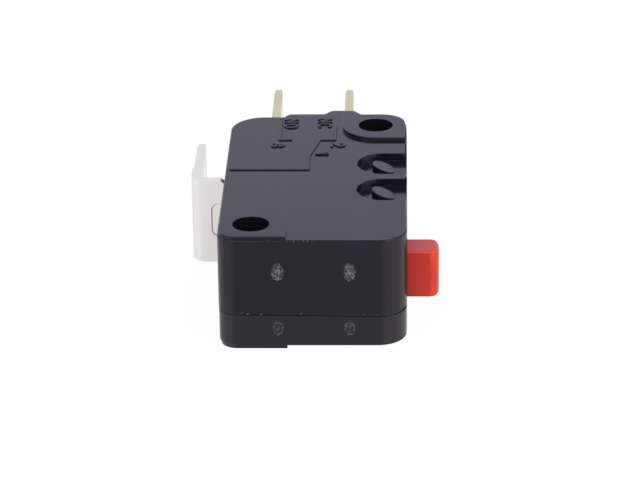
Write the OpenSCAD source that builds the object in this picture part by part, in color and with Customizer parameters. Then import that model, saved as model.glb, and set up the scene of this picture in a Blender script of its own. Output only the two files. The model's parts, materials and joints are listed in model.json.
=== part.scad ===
// Pin plunger micro switch, lying on its cover. Millimetres, +Z up.
// The origin is on the axis of the datum mounting hole, on the mounting plane under the pads.
// +X is the way the plunger points, and +Y runs towards the far end with the two contact tabs.

/* [Case] */
// Length of the case along Y
case_l = 27.8; // [27:0.1:32]
// Width of the case along X
case_w = 15.9; // [15.5:0.1:19]
// Thickness over the raised pads, along Z
case_t = 10.3; // [10:0.1:13]
// Height of the parting line above the mounting plane
parting_z = 3.2; // [2.9:0.05:3.25]
// Thickness of the side walls
wall = 1.5; // [1:0.1:1.8]
// Thickness of the end wall that holds the contact tabs
end_wall = 3.4; // [2.8:0.1:4]
// Corner radius beside the datum hole
datum_corner_r = 1.6; // [1.2:0.1:2.6]
// Corner radius beside the far hole
hole_corner_r = 2.2; // [1.5:0.1:2.6]
// Corner radius beside the plunger
near_corner_r = 2.5; // [1.5:0.1:3]
// Corner radius at the far end, beside the normally open tab
far_corner_r = 3; // [1.5:0.1:3.5]
// Rounding of the outer top and bottom edges
edge_r = 0.15; // [0.1:0.05:0.5]
// How far the cover stands in from the case
cover_inset = 0.02; // [0:0.01:0.1]
// Height of the shadow groove at the parting line, at the left face
seam_left = 0.04; // [0.02:0.01:0.1]
// Height of the shadow groove at the parting line, at the plunger face
seam_right = 0.24; // [0.1:0.01:0.3]
// Depth of the shadow groove at the parting line
seam_in = 0.15; // [0.05:0.01:0.25]

/* [Mounting holes and pads] */
// Diameter of the two mounting holes
hole_d = 3.1; // [2.5:0.05:3.5]
// Distance of each mounting hole from its two edges
hole_edge = 2.8; // [2.6:0.05:3.2]
// Wall around each mounting hole inside the case
boss_wall = 1.2; // [0.8:0.1:1.3]
// Height of each raised pad
pad_h = 0.3; // [0.15:0.05:0.4]
// Reach of each pad from its hole's axis
pad_r = 3; // [2.4:0.1:4]

/* [Lever seats] */
// Half the width of a lever seat
seat_r = 2.33; // [1.8:0.01:2.6]
// Depth of a lever seat
seat_depth = 0.7; // [0.5:0.05:0.9]
// Material left between a lever seat and the cavity
seat_web = 1.3; // [1:0.05:1.5]
// Distance of a seat's round end centre from the plunger face
seat_in = 2.03; // [1.6:0.01:2.6]
// Distance of the first seat's axis from the near face
seat_y = 10.86; // [9.5:0.01:11.5]
// Distance between the two seats' axes
seat_pitch = 5.79; // [5.4:0.01:6.4]
// Radius of the nub in each seat
nub_r = 1; // [0.7:0.01:1.3]
// Length of the nub's flat top before its ramp
nub_flat = 0.25; // [0.1:0.01:0.6]
// Fall of the nub's ramp
nub_drop = 0.65; // [0.3:0.05:0.65]

/* [Far end] */
// Distance of the barrier's foot from the left face
barrier_x = 4.75; // [4.6:0.05:6]
// How far the barrier stands out of the end face
barrier_out = 0.65; // [0.3:0.05:1]
// Width of the end of the collar around the normally closed tab
collar_w = 2.1; // [1.9:0.1:2.4]
// Distance of the normally closed tab from the collar's middle
collar_shift = 0.47; // [0:0.01:0.48]
// How far the collar stands out of the end face
collar_out = 1.5; // [1.2:0.05:2]
// Slope of the barrier's and the collar's sides, in degrees from the end face
bump_slope = 56; // [50:1:70]
// Corner radius of the barrier and the collar
bump_r = 0.45; // [0.2:0.05:0.6]

/* [Plunger] */
// Distance of the plunger's axis from the near face
plunger_y = 4.8; // [4.7:0.05:5.2]
// Width of the plunger along Y
plunger_w = 2.76; // [2.2:0.02:3]
// Height of the plunger along Z
plunger_h = 4.16; // [3.8:0.02:4.2]
// Length that stands out of the case at rest
plunger_out = 2.68; // [2.3:0.02:3.2]
// Full travel of the plunger
travel = 2.1; // [1.2:0.1:2.2]
// Rounding of the tip's upright edges
tip_plan_r = 0.85; // [0.2:0.05:1]
// Rounding of the tip's upper and lower edges
tip_edge_r = 0.35; // [0.2:0.05:0.8]
// Width of the stop that keeps the plunger in the case
stop_w = 4; // [3.4:0.1:4.4]
// Thickness of the stop
stop_t = 1.2; // [0.8:0.1:1.4]

/* [Terminals] */
// Thickness of the terminal sheet
sheet_t = 0.8; // [0.6:0.05:0.9]
// Width of the plug-on tabs
tab_w = 6.35; // [4.8:0.05:6.8]
// Width of each terminal's root, just outside the case
root_w = 7.8; // [7:0.1:8.4]
// Width of the contact terminals inside the case
strip_w = 3.8; // [3.4:0.1:4]
// Distance of the normally open tab from the left face
no_x = 3.77; // [3.2:0.01:4.2]
// Distance of the normally closed tab from the left face
nc_x = 10.52; // [10.2:0.01:11]
// Sideways jog of the normally closed terminal inside the end wall
nc_jog = 1.08; // [0.9:0.02:1.3]
// Length of the contact tabs beyond the end face
tab_out = 12; // [10:0.1:14]
// Length of the contact terminals' roots beyond the end face
root_out = 3.2; // [2.6:0.1:4]
// Sideways step from the normally open tab to its root
no_step = 0.15; // [0:0.01:0.3]
// Corner chamfer at the tip of a tab
tab_chamfer = 0.8; // [0.4:0.1:1.6]
// Length of the tapered lead-in at the tip of a tab
lead_in = 1.6; // [0.6:0.1:2]
// Thickness left at the very tip of a tab
tip_t = 0.4; // [0.3:0.05:0.55]
// Diameter of the detent hole in a tab
detent_d = 1.8; // [1.4:0.1:2.2]
// Distance of the detent hole from the tip of a tab
detent_in = 4.1; // [3:0.1:4.6]

/* [Common terminal] */
// Distance of the common terminal's front face from the near face
com_y = 15; // [13.5:0.05:15.5]
// Flat length of the root outside the case
com_flat = 1.75; // [1.3:0.05:2.5]
// Inner radius of the terminal's bends
bend_r = 0.55; // [0.4:0.05:0.8]
// Distance of the tab's tip from the near face
com_tip = 26.2; // [24:0.1:28]
// Length of the root that goes on past the bend before the tab narrows
com_shoulder = 1.7; // [0.8:0.1:2]
// Height of the mark pressed into the root
com_mark_h = 3.1; // [2:0.05:3.2]
// How far that mark reaches out of the case
com_mark_out = 1.32; // [0.8:0.01:1.5]
// Corner radius of that mark
com_mark_r = 0.6; // [0.3:0.05:0.8]
// Depth of that mark and width of its sloping sides
com_mark_depth = 0.05; // [0.05:0.01:0.2]
// Height of that mark's middle above the terminal's middle
com_mark_rise = 0.16; // [0:0.01:0.3]

/* [Snap mechanism] */
// Thickness of the snap blade
blade_t = 0.25; // [0.15:0.05:0.3]
// Width of the snap blade
blade_w = 3.8; // [3.4:0.1:4]
// Width of each of the blade's two rails
rail_w = 0.95; // [0.8:0.05:1]
// Radius of the rolled edge on which the blade turns
roll_r = 0.25; // [0.2:0.01:0.28]
// Diameter of the contacts
contact_d = 2.4; // [1.8:0.1:2.8]
// Thickness of a contact's head
contact_h = 0.6; // [0.4:0.05:0.7]
// Gap that the moving contact crosses
contact_gap = 0.8; // [0.4:0.05:0.9]
// Distance of the contacts from the end face
contact_in = 5.4; // [5:0.1:6]

/* [Clearances] */
// Gap around a terminal or plunger in its slot
slip = 0.05; // [0.02:0.01:0.08]
// Gap between the closed contacts
touch = 0.02; // [0.01:0.01:0.04]
// Gap between the plunger's feet and the blade at rest
foot_gap = 0.1; // [0.05:0.01:0.2]

/* [Hidden] */
$fn = 64;
over = 0.5;
wedge_reach = 1.2;

// Case planes
x_left = -hole_edge;
x_right = x_left + case_w;
y_near = -hole_edge;
y_far = y_near + case_l;
z_base = pad_h;
z_top = case_t - pad_h;
mech_z = case_t / 2;
hole_dx = case_w - 2 * hole_edge;
hole_dy = case_l - 2 * hole_edge;

// Cavity planes
skin = seat_depth + seat_web;
z_floor = z_base + skin;
z_roof = z_top - skin;
x_in_left = x_left + wall;
x_in_right = x_right - wall;
y_in_near = y_near + wall;
y_in_far = y_far - end_wall;
boss_r = hole_d / 2 + boss_wall;

// Lever seats
seat_x = x_right - seat_in;
seat_ys = [for (i = [0, 1]) y_near + seat_y + i * seat_pitch];

// Terminals at the end face
no_tab_x = x_left + no_x;
nc_tab_x = x_left + nc_x;
barrier_left = x_left + barrier_x;
barrier_end = y_far + barrier_out;
collar_end = y_far + collar_out;
collar_left = nc_tab_x - collar_w / 2 - collar_shift;
collar_right = collar_left + collar_w;
tip_y = y_far + tab_out;
strip_low = mech_z - strip_w / 2;

// Contact stack along X, worked out from the normally closed terminal
contact_y = y_far - contact_in;
contact_r = contact_d / 2;
shank_r = contact_r / 2;
tail_h = 0.25;
tail_rim = 0.3;
rivet_l = contact_h + sheet_t + tail_h;
strip_margin = 0.5;
jog_land = 0.75;
nc_strip_x = nc_tab_x - nc_jog;
nc_face = nc_strip_x - sheet_t / 2 - contact_h;
blade_x = nc_face - touch - contact_h - blade_t / 2;
no_face = blade_x - blade_t / 2 - contact_h - contact_gap;
no_strip_x = no_face - contact_h - sheet_t / 2;
strip_end = contact_y - contact_r - strip_margin;
jog_in = y_in_far + jog_land;
jog_out = y_far - jog_land;
no_path = [[no_strip_x, strip_end], [no_strip_x, jog_in], [no_tab_x, jog_out], [no_tab_x, tip_y]];
nc_path = [[nc_strip_x, strip_end], [nc_strip_x, jog_in], [nc_tab_x, jog_out], [nc_tab_x, tip_y]];

// Common terminal
com_front = y_near + com_y;
com_back = com_front + sheet_t;
com_bend_x = x_left - com_flat;
com_tab_x = com_bend_x - bend_r - sheet_t / 2;
com_bend_y = com_back + bend_r;
base_drop = 1.5;
com_strip_x = blade_x - base_drop;
com_inner_x = com_strip_x - sheet_t / 2 - bend_r;
com_inner_y = com_front - bend_r;
neck_low = strip_low;
neck_rim = 1.15;
neck_high = mech_z + com_mark_h / 2 + neck_rim;
com_mark_in = 1;
neck_stub = 1;
lug_play = 0.1;
lug_w = blade_w - 2 * rail_w - 2 * lug_play;
com_block = 1.9;
block_side = 1.2;
root_corner_r = 0.6;

// Snap blade and its two seats on the common terminal
pivot_y = y_in_near + 2 * roll_r;
hook_y = pivot_y + slip;
hook_play = 0.1;
lug_rise = 0.5;
lug_top = blade_x + lug_rise;
arm_l = 3;
arm_rim = 0.3;
arm_w = contact_d + 2 * arm_rim;
bar_w = 1.2;
window_end = contact_y - contact_r - arm_l;
axis_y = y_near + plunger_y;
tongue_set_back = 2.3;
tongue_seat_y = axis_y + plunger_w / 2 + tongue_set_back;
tongue_tip_y = tongue_seat_y + sheet_t + hook_play;
tongue_play = 0.2;
tongue_w = lug_w - 2 * tongue_play;
tongue_bow = 1.1;
tongue_t = 0.2;
tongue_root = 0.5;
crown_r = 5;

// Plunger
plunger_low = parting_z + slip;
plunger_high = plunger_low + plunger_h;
stop_face = x_in_right - slip;
foot_x = blade_x + blade_t / 2 + foot_gap;
foot_r = plunger_w / 4;
foot_w = rail_w - 0.1;
fork_play = 0.15;
fork_clear = 0.4;
fork_root = com_strip_x + sheet_t / 2 + fork_clear + travel;

// Cuts the sharp corner at p back to a round of radius r; turn 0 is the lower left corner
module corner_cut(p, r, turn)
    translate(p) rotate(turn) difference() {
        translate([-over, -over]) square(r + over);
        translate([r, r]) circle(r);
    }

// Outline of the case in plan, drawn in by inset, with a radius of its own at each corner
module plan(inset = 0)
    difference() {
        translate([x_left + inset, y_near + inset]) square([case_w - 2 * inset, case_l - 2 * inset]);
        corner_cut([x_left + inset, y_near + inset], datum_corner_r - inset, 0);
        corner_cut([x_right - inset, y_near + inset], near_corner_r - inset, 90);
        corner_cut([x_right - inset, y_far - inset], hole_corner_r - inset, 180);
        corner_cut([x_left + inset, y_far - inset], far_corner_r - inset, 270);
    }

module quarter_disc(r)
    intersection() {
        circle(r);
        square(r);
    }

// Quarter round along one straight edge, facing the way that turn gives
module edge_round(start, length, r, turn)
    translate(start) rotate([90, 0, turn]) linear_extrude(length) quarter_disc(r);

// Quarter round about one corner's centre
module corner_round(centre, corner, r, turn)
    translate(centre) rotate(turn) rotate_extrude(angle = 90) translate([corner - r, 0]) quarter_disc(r);

// Slab with the case's outline, from z = 0 to h, with its upper edge rounded
module rounded_slab(h, inset) {
    xl = x_left + inset;
    xr = x_right - inset;
    yn = y_near + inset;
    yf = y_far - inset;
    datum_r = datum_corner_r - inset;
    hole_r = hole_corner_r - inset;
    near_r = near_corner_r - inset;
    far_r = far_corner_r - inset;
    z = h - edge_r;
    linear_extrude(h) plan(inset + edge_r);
    linear_extrude(z) plan(inset);
    edge_round([xl + edge_r, yn + datum_r, z], yf - far_r - yn - datum_r, edge_r, 180);
    edge_round([xr - edge_r, yf - hole_r, z], yf - hole_r - yn - near_r, edge_r, 0);
    edge_round([xr - near_r, yn + edge_r, z], xr - near_r - xl - datum_r, edge_r, 270);
    edge_round([xl + far_r, yf - edge_r, z], xr - hole_r - xl - far_r, edge_r, 90);
    corner_round([xl + datum_r, yn + datum_r, z], datum_r, edge_r, 180);
    corner_round([xr - near_r, yn + near_r, z], near_r, edge_r, 270);
    corner_round([xr - hole_r, yf - hole_r, z], hole_r, edge_r, 0);
    corner_round([xl + far_r, yf - far_r, z], far_r, edge_r, 90);
}

// The pads at the two hole corners, in plan
module pads()
    intersection() {
        plan(edge_r);
        for (turn = [0, 180])
            translate([hole_dx / 2, hole_dy / 2]) rotate(turn) translate([-hole_dx / 2, -hole_dy / 2])
                difference() {
                    translate([x_left, y_near]) square([pad_r - x_left, pad_r - y_near]);
                    corner_cut([pad_r, pad_r], pad_r, 180);
                }
    }

// Wedge between the corner at p of two lines, towards a and b, and the round of radius r that touches both
module corner_wedge(p, a, b, r) {
    u = unit(a - p);
    v = unit(b - p);
    half = acos(u * v) / 2;
    centre = p + unit(u + v) * r / sin(half);
    touch_u = p + u * r / tan(half);
    touch_v = p + v * r / tan(half);
    difference() {
        polygon([for (q = [centre, touch_u, p, touch_v]) centre + wedge_reach * (q - centre)]);
        translate(centre) circle(r);
    }
}

// The barrier between the two tabs and the collar round one of them, in plan, with sloping sides
module far_bumps() {
    function run(rise) = rise / tan(bump_slope);
    root = y_far - 2 * edge_r;
    foot_left = [barrier_left, y_far];
    barrier_top = [barrier_left + run(barrier_out), barrier_end];
    step_foot = [collar_left - run(collar_out - barrier_out), barrier_end];
    end_left = [collar_left, collar_end];
    end_right = [collar_right, collar_end];
    foot_right = [collar_right + run(collar_out), y_far];
    difference() {
        polygon([[foot_left.x, root], foot_left, barrier_top, step_foot, end_left, end_right, foot_right,
                 [foot_right.x, root]]);
        corner_wedge(barrier_top, foot_left, step_foot, bump_r);
        corner_wedge(end_left, step_foot, end_right, bump_r);
        corner_wedge(end_right, end_left, foot_right, bump_r);
    }
    corner_wedge(step_foot, barrier_top, end_left, bump_r);
    corner_wedge(foot_right, end_right, [x_right, y_far], bump_r);
}

module at_holes()
    for (p = [[0, 0], [hole_dx, hole_dy]])
        translate(p) children();

module bores()
    at_holes() translate([0, 0, -over]) cylinder(d = hole_d, h = case_t + 2 * over);

// Lever seats sunk from the plane z = 0 downwards, each with its ramped nub left standing
module lever_seats()
    for (y = seat_ys)
        translate([seat_x, y, -seat_depth]) difference() {
            union() {
                cylinder(r = seat_r, h = seat_depth + over);
                translate([0, -seat_r, 0]) cube([seat_in + over, 2 * seat_r, seat_depth + over]);
            }
            difference() {
                cylinder(r = nub_r, h = seat_depth);
                rotate([90, 0, 0]) linear_extrude(4 * nub_r, center = true)
                    polygon([[nub_flat - nub_r, seat_depth],
                             [nub_r + over, seat_depth - nub_drop * nub_ratio()],
                             [nub_r + over, seat_depth + over],
                             [nub_flat - nub_r, seat_depth + over]]);
            }
        }

// The ramp is drawn past the nub's edge, so its fall grows in the same ratio
function nub_ratio() = (2 * nub_r - nub_flat + over) / (2 * nub_r - nub_flat);

// Inside of the case in plan, less the hole bosses and the block at the common terminal
module cavity_plan(gap = 0)
    difference() {
        translate([x_in_left + gap, y_in_near + gap])
            square([x_in_right - x_in_left - 2 * gap, y_in_far - y_in_near - 2 * gap]);
        at_holes() circle(boss_r + gap);
        translate([x_in_left - over, com_front - block_side])
            square([com_block + over, sheet_t + 2 * block_side]);
    }

// Points of a path moved sideways by d, with mitred joints
function unit(v) = v / norm(v);
function left_of(v) = [-v.y, v.x];
function step(path, i) = unit(path[i + 1] - path[i]);
function joint_normal(path, i) =
    let (a = left_of(step(path, max(i - 1, 0))), b = left_of(step(path, min(i, len(path) - 2))))
    (a + b) / (1 + a * b);
function beside(path, d) = [for (i = [0 : len(path) - 1]) path[i] + d * joint_normal(path, i)];
function reversed(list) = [for (i = [len(list) - 1 : -1 : 0]) list[i]];

// Edge-on view of a sheet of thickness t that follows a path
module sheet(path, t)
    polygon(concat(beside(path, t / 2), reversed(beside(path, -t / 2))));

// Slots for the two contact terminals, open at the parting line
module contact_slots() {
    low = min(parting_z, strip_low - slip);
    for (path = [no_path, nc_path])
        translate([0, 0, low - over]) linear_extrude(strip_low + strip_w + slip - low + over)
            sheet(path, sheet_t + 2 * slip);
}

// Slot for the common terminal's neck, open at the parting line
module com_slot() {
    low = min(parting_z, neck_low - slip);
    translate([x_left - over, com_front - slip, low - over])
        cube([wall + com_block + 2 * over, sheet_t + 2 * slip, neck_high + slip - low + over]);
}

// Room for the common terminal's base strip beside the hole boss
module strip_relief()
    translate([com_strip_x - sheet_t / 2 - slip, hook_y - slip, parting_z - over])
        cube([sheet_t + 2 * slip, com_inner_y - hook_y, mech_z + lug_w / 2 + slip - parting_z + over]);

// Room for the two fixed contacts' rivets beside the other hole boss
module rivet_relief()
    for (x = [nc_face, no_face - rivet_l])
        translate([x - slip, contact_y, mech_z]) rotate([0, 90, 0])
            cylinder(r = contact_r + slip, h = rivet_l + 2 * slip);

// Room for the plunger's stop and feet under the roof, over the full travel
module plunger_relief()
    translate([foot_x - travel - slip, axis_y - stop_w / 2 - slip, parting_z - over])
        cube([stop_face - foot_x + travel + 2 * slip, stop_w + 2 * slip,
              plunger_high + slip - parting_z + over]);

// Slot for the plunger in the right wall, open at the parting line
module plunger_slot()
    translate([x_in_right - over, axis_y - plunger_w / 2 - slip, parting_z - over])
        cube([wall + 2 * over, plunger_w + 2 * slip, plunger_high + slip - parting_z + over]);

module case()
    color("#2b2b31") difference() {
        union() {
            translate([0, 0, parting_z]) rounded_slab(z_top - parting_z, 0);
            translate([0, 0, parting_z]) linear_extrude(z_top - parting_z) far_bumps();
            translate([0, 0, z_top - edge_r]) linear_extrude(pad_h + edge_r) pads();
        }
        translate([0, 0, parting_z - over]) linear_extrude(z_roof - parting_z + over) cavity_plan();
        bores();
        translate([0, 0, z_top]) lever_seats();
        plunger_slot();
        contact_slots();
        com_slot();
        strip_relief();
        rivet_relief();
        plunger_relief();
    }

// Locating lips on the cover that stand just inside the case's walls
module lips() {
    lip_t = 0.6;
    lip_h = 0.8;
    margin = 1.2;
    height = parting_z + lip_h - z_floor;
    near_x = [lug_top + margin, x_in_right - margin];
    left_y = [boss_r + margin, com_front - block_side - margin];
    right_y = [axis_y + stop_w / 2 + margin, hole_dy - boss_r - margin];
    translate([near_x[0], y_in_near + slip, z_floor]) cube([near_x[1] - near_x[0], lip_t, height]);
    translate([x_in_left + slip, left_y[0], z_floor]) cube([lip_t, left_y[1] - left_y[0], height]);
    translate([x_in_right - slip - lip_t, right_y[0], z_floor])
        cube([lip_t, right_y[1] - right_y[0], height]);
}

// Shadow groove round the cover at the parting line, which widens towards the plunger face
module seam_groove()
    difference() {
        translate([0, y_far + collar_out + over, 0]) rotate([90, 0, 0])
            linear_extrude(case_l + collar_out + 2 * over)
                polygon([[x_left, parting_z - seam_left], [x_right, parting_z - seam_right],
                         [x_right, parting_z + over], [x_left, parting_z + over]]);
        translate([0, 0, z_base]) linear_extrude(parting_z - z_base + 2 * over) plan(cover_inset + seam_in);
    }

module cover()
    color("#26262b") {
        difference() {
            union() {
                translate([0, 0, parting_z]) mirror([0, 0, 1]) rounded_slab(parting_z - z_base, cover_inset);
                translate([0, 0, z_base]) linear_extrude(parting_z - z_base) far_bumps();
                linear_extrude(pad_h + edge_r) pads();
            }
            seam_groove();
            translate([0, 0, z_floor]) linear_extrude(parting_z - z_floor + over) cavity_plan();
            bores();
            translate([0, 0, z_base]) mirror([0, 0, 1]) lever_seats();
            if (strip_low - slip < parting_z) contact_slots();
            if (neck_low - slip < parting_z) com_slot();
        }
        lips();
    }

// Tip of the plunger: a block with rounded upright edges and rounded upper and lower edges
module plunger_shank(length)
    intersection() {
        translate([0, 0, plunger_low]) linear_extrude(plunger_h) difference() {
            translate([-length, -plunger_w / 2]) square([length, plunger_w]);
            corner_cut([0, -plunger_w / 2], tip_plan_r, 90);
            corner_cut([0, plunger_w / 2], tip_plan_r, 180);
        }
        rotate([90, 0, 0]) linear_extrude(plunger_w + 2 * over, center = true) difference() {
            translate([-length, plunger_low]) square([length, plunger_h]);
            corner_cut([0, plunger_low], tip_edge_r, 90);
            corner_cut([0, plunger_high], tip_edge_r, 180);
        }
    }

// Two feet that straddle the common terminal and press on the blade's rails
module feet()
    for (side = [-1, 1])
        translate([foot_x + foot_r, 0, mech_z + side * (lug_w / 2 + fork_play + foot_w / 2) - foot_w / 2]) {
            cylinder(r = foot_r, h = foot_w);
            translate([0, -foot_r, 0]) cube([fork_root - foot_x, 2 * foot_r, foot_w]);
        }

module plunger() {
    tip = x_right + plunger_out;
    color("#c8352b") translate([0, axis_y, 0]) {
        translate([tip, 0, 0]) plunger_shank(tip - fork_root);
        translate([stop_face - stop_t, -stop_w / 2, plunger_low]) cube([stop_t, stop_w, plunger_h]);
        feet();
    }
}

// Plug-on tab along +Y from y = 0, standing on its edge, with a chamfered and tapered tip
module tab_blade(length)
    difference() {
        intersection() {
            translate([0, 0, -tab_w / 2]) linear_extrude(tab_w)
                polygon([for (s = [-1, 1]) for (p = tab_side(length, s)) p]);
            rotate([90, 0, 90]) linear_extrude(2 * sheet_t, center = true)
                polygon([for (s = [-1, 1]) for (p = tab_edge(length, s)) p]);
        }
        translate([0, length - detent_in, 0]) rotate([0, 90, 0])
            cylinder(d = detent_d, h = 2 * sheet_t, center = true);
    }

// Half outlines of a tab: its thickness in plan, and its width from the side
function in_order(points, s) = s < 0 ? points : reversed(points);
function tab_side(length, s) =
    in_order([[s * sheet_t / 2, 0], [s * sheet_t / 2, length - lead_in], [s * tip_t / 2, length]], s);
function tab_edge(length, s) =
    in_order([[0, s * tab_w / 2], [length - tab_chamfer, s * tab_w / 2],
              [length, s * tab_w / 2 - s * tab_chamfer]], s);

// Contact terminal: a strip in its slot, then outside the case a wide root from root_y, which may stand
// a step aside, and the plug-on tab
module contact_terminal(path, root_y, step = 0)
    difference() {
        union() {
            translate([0, 0, strip_low]) linear_extrude(strip_w) sheet(strip_part(path, root_y), sheet_t);
            translate([path[3].x + step - sheet_t / 2, root_y, mech_z - root_w / 2])
                cube([sheet_t, y_far + root_out - root_y, root_w]);
            translate([path[3].x, root_y, mech_z]) tab_blade(tip_y - root_y);
        }
        translate([path[0].x, contact_y, mech_z]) rotate([0, 90, 0])
            cylinder(r = shank_r, h = 2 * sheet_t, center = true);
    }

// The path up to just inside the root
function strip_part(path, root_y) = [path[0], path[1], path[2], [path[3].x, root_y + sheet_t]];

module nc_terminal()
    color("#cfc79a") contact_terminal(nc_path, y_far + collar_out + slip);

module no_terminal()
    color("#cfc79a") contact_terminal(no_path, y_far + slip, no_step);

// Quarter of a bend in plan about its centre, from turn to turn + 90 degrees
module bend(centre, turn)
    translate(centre) rotate(turn) difference() {
        intersection() {
            circle(bend_r + sheet_t);
            square(bend_r + sheet_t);
        }
        circle(bend_r);
    }

// Part of the common terminal in plan, outside the case: root, bend and the start of the tab
module com_outer_plan() {
    translate([com_bend_x, com_front]) square([x_left - slip - com_bend_x, sheet_t]);
    bend([com_bend_x, com_bend_y], 180);
    translate([com_tab_x - sheet_t / 2, com_bend_y]) square([sheet_t, com_shoulder]);
}

// Part of the common terminal in plan, inside the case: neck, bend and the start of the base strip
module com_inner_plan() {
    translate([com_bend_x, com_front]) square([com_inner_x - com_bend_x, sheet_t]);
    bend([com_inner_x, com_inner_y], 0);
    translate([com_strip_x - sheet_t / 2, com_inner_y - neck_stub]) square([sheet_t, neck_stub]);
}

// Lug that stands up from the base strip, from y to y + sheet_t
module lug(y)
    translate([com_strip_x, y, mech_z - lug_w / 2]) cube([lug_top - com_strip_x, sheet_t, lug_w]);

// Mark pressed into the root's front face: a rectangle with round corners and sloping sides, which runs on
// into the case
module com_mark() {
    low = mech_z + com_mark_rise - com_mark_h / 2;
    wide = com_mark_out + com_mark_in;
    translate([x_left - com_mark_out, com_front + com_mark_depth, low]) rotate([90, 0, 0]) {
        for (x = [com_mark_r, wide - com_mark_r], y = [com_mark_r, com_mark_h - com_mark_r])
            translate([x, y, 0])
                cylinder(r1 = com_mark_r - com_mark_depth, r2 = com_mark_r, h = com_mark_depth);
        translate([0, com_mark_r, 0]) mark_bar(wide, com_mark_h - 2 * com_mark_r);
        translate([wide - com_mark_r, 0, 0]) rotate(90) mark_bar(com_mark_h, wide - 2 * com_mark_r);
    }
}

// Straight part of the mark: its sloping section across the given width, drawn out along Y
module mark_bar(wide, length)
    translate([0, length, 0]) rotate([90, 0, 0]) linear_extrude(length)
        polygon([[com_mark_depth, 0], [wide - com_mark_depth, 0],
                 [wide, com_mark_depth], [0, com_mark_depth]]);

module com_terminal()
    color("#dcdad6") difference() {
        union() {
            translate([0, 0, mech_z - root_w / 2]) linear_extrude(root_w) com_outer_plan();
            translate([0, 0, neck_low]) linear_extrude(neck_high - neck_low) com_inner_plan();
            translate([com_tab_x, com_bend_y, mech_z]) tab_blade(y_near + com_tip - com_bend_y);
            translate([com_strip_x - sheet_t / 2, hook_y, mech_z - lug_w / 2])
                cube([sheet_t, com_inner_y - hook_y, lug_w]);
            lug(hook_y);
            lug(tongue_seat_y);
        }
        com_mark();
        translate([blade_x, pivot_y, 0]) cylinder(r = roll_r + slip, h = case_t);
        for (s = [-1, 1])
            translate([0, com_bend_y, 0]) rotate([90, 0, 0]) linear_extrude(2 * bend_r + 2 * sheet_t)
                corner_cut([x_left - slip, mech_z + s * root_w / 2], root_corner_r, 135 + s * 45);
    }

// Outline of the blade seen along X, drawn in Y and Z
module blade_outline()
    difference() {
        union() {
            translate([pivot_y, mech_z - blade_w / 2]) square([window_end + bar_w - pivot_y, blade_w]);
            translate([window_end, mech_z - arm_w / 2]) square([contact_y - window_end, arm_w]);
            translate([contact_y, mech_z]) circle(d = arm_w);
        }
        translate([hook_y - hook_play, mech_z - blade_w / 2 + rail_w])
            square([window_end - hook_y + hook_play, blade_w - 2 * rail_w]);
        translate([contact_y, mech_z]) circle(shank_r);
    }

// Bowed tongue in plan, an arc from the blade's far bar to the tongue's seat
module tongue_plan() {
    chord = window_end + tongue_root - tongue_tip_y;
    r = (chord * chord / 4 + tongue_bow * tongue_bow) / (2 * tongue_bow);
    intersection() {
        translate([blade_x + tongue_bow - r, tongue_tip_y + chord / 2]) difference() {
            circle(r + tongue_t / 2, $fn = 180);
            circle(r - tongue_t / 2, $fn = 180);
        }
        translate([blade_x - blade_t, tongue_tip_y]) square([2 * tongue_bow, chord]);
    }
}

module snap_blade()
    color("#b98a4a") {
        translate([blade_x - blade_t / 2, 0, 0]) rotate([90, 0, 90]) linear_extrude(blade_t) blade_outline();
        translate([blade_x, pivot_y, mech_z - blade_w / 2]) cylinder(r = roll_r, h = blade_w);
        translate([0, 0, mech_z - tongue_w / 2]) linear_extrude(tongue_w) tongue_plan();
    }

// Crowned contact head along +X from x = 0
module crowned_head()
    rotate([0, 90, 0]) rotate_extrude() intersection() {
        square([contact_r, contact_h]);
        translate([0, contact_h - crown_r]) circle(crown_r);
    }

module moving_contact()
    color("#d8d8d4") translate([blade_x, contact_y, mech_z]) {
        translate([blade_t / 2, 0, 0]) crowned_head();
        mirror([1, 0, 0]) translate([blade_t / 2, 0, 0]) crowned_head();
        rotate([0, 90, 0]) cylinder(r = shank_r, h = blade_t, center = true);
    }

// Contact rivet along +X: its head's face at x = 0, its shank through the sheet and its closed tail
module rivet()
    rotate([0, 90, 0]) {
        cylinder(r = contact_r, h = contact_h);
        cylinder(r = shank_r, h = rivet_l);
        translate([0, 0, contact_h + sheet_t]) cylinder(r = shank_r + tail_rim, h = tail_h);
    }

module nc_contact()
    color("#d8d8d4") translate([nc_face, contact_y, mech_z]) rivet();

module no_contact()
    color("#d8d8d4") translate([no_face, contact_y, mech_z]) mirror([1, 0, 0]) rivet();

case();
cover();
plunger();
com_terminal();
nc_terminal();
no_terminal();
snap_blade();
moving_contact();
nc_contact();
no_contact();
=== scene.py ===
"""Looks of a pin plunger micro switch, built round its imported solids.

The frame gives every solid its place. This script rounds the solids' edges, gives each one its finish, adds
the raised circuit diagram and the marks of the moulds, and sets the switch in a plain white studio. Lengths
are in metres in the part's own frame: +X is the way the plunger points, and +Y runs to the end with the two
contact tabs.
"""

from __future__ import annotations

import json
import logging
import math
from collections.abc import Sequence
from dataclasses import dataclass, field, replace
from enum import Enum
from typing import Any, Protocol, Union

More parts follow.
